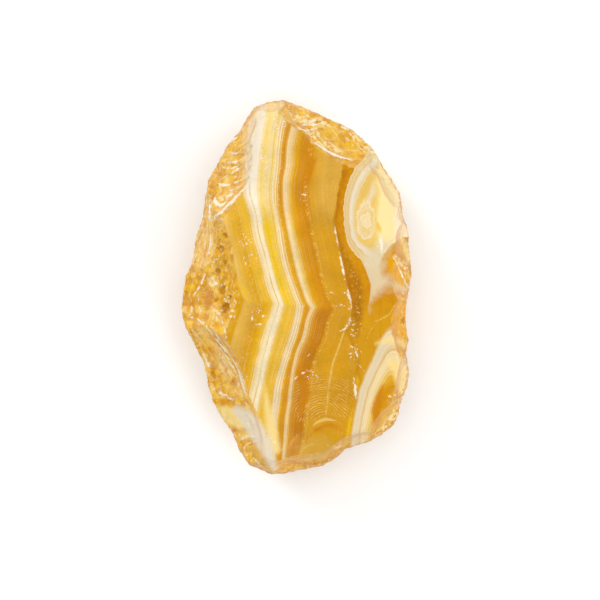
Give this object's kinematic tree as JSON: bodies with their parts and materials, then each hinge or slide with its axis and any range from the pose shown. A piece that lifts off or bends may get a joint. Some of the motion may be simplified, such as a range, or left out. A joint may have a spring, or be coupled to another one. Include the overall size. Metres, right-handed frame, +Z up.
{
  "type": "raw onyx stone",
  "caption": "Hand specimen of raw banded onyx, broken on every side, lying on a flat facet with its chevron-banded face up.",
  "frame": {"origin": "on the surface the stone rests on, below the middle of its outline", "axes": "+Z up out of the banded face, +Y along the long axis to the upper end of the picture, +X to the right of the picture"},
  "size_m": [0.0385, 0.0626, 0.0185],
  "materials": {
    "onyx": "broken, glassy to frosted, translucent honey amber with cream and white bands"
  },
  "bodies": {
    "root": {"onyx_stone": "onyx"}
  },
  "joints": []
}
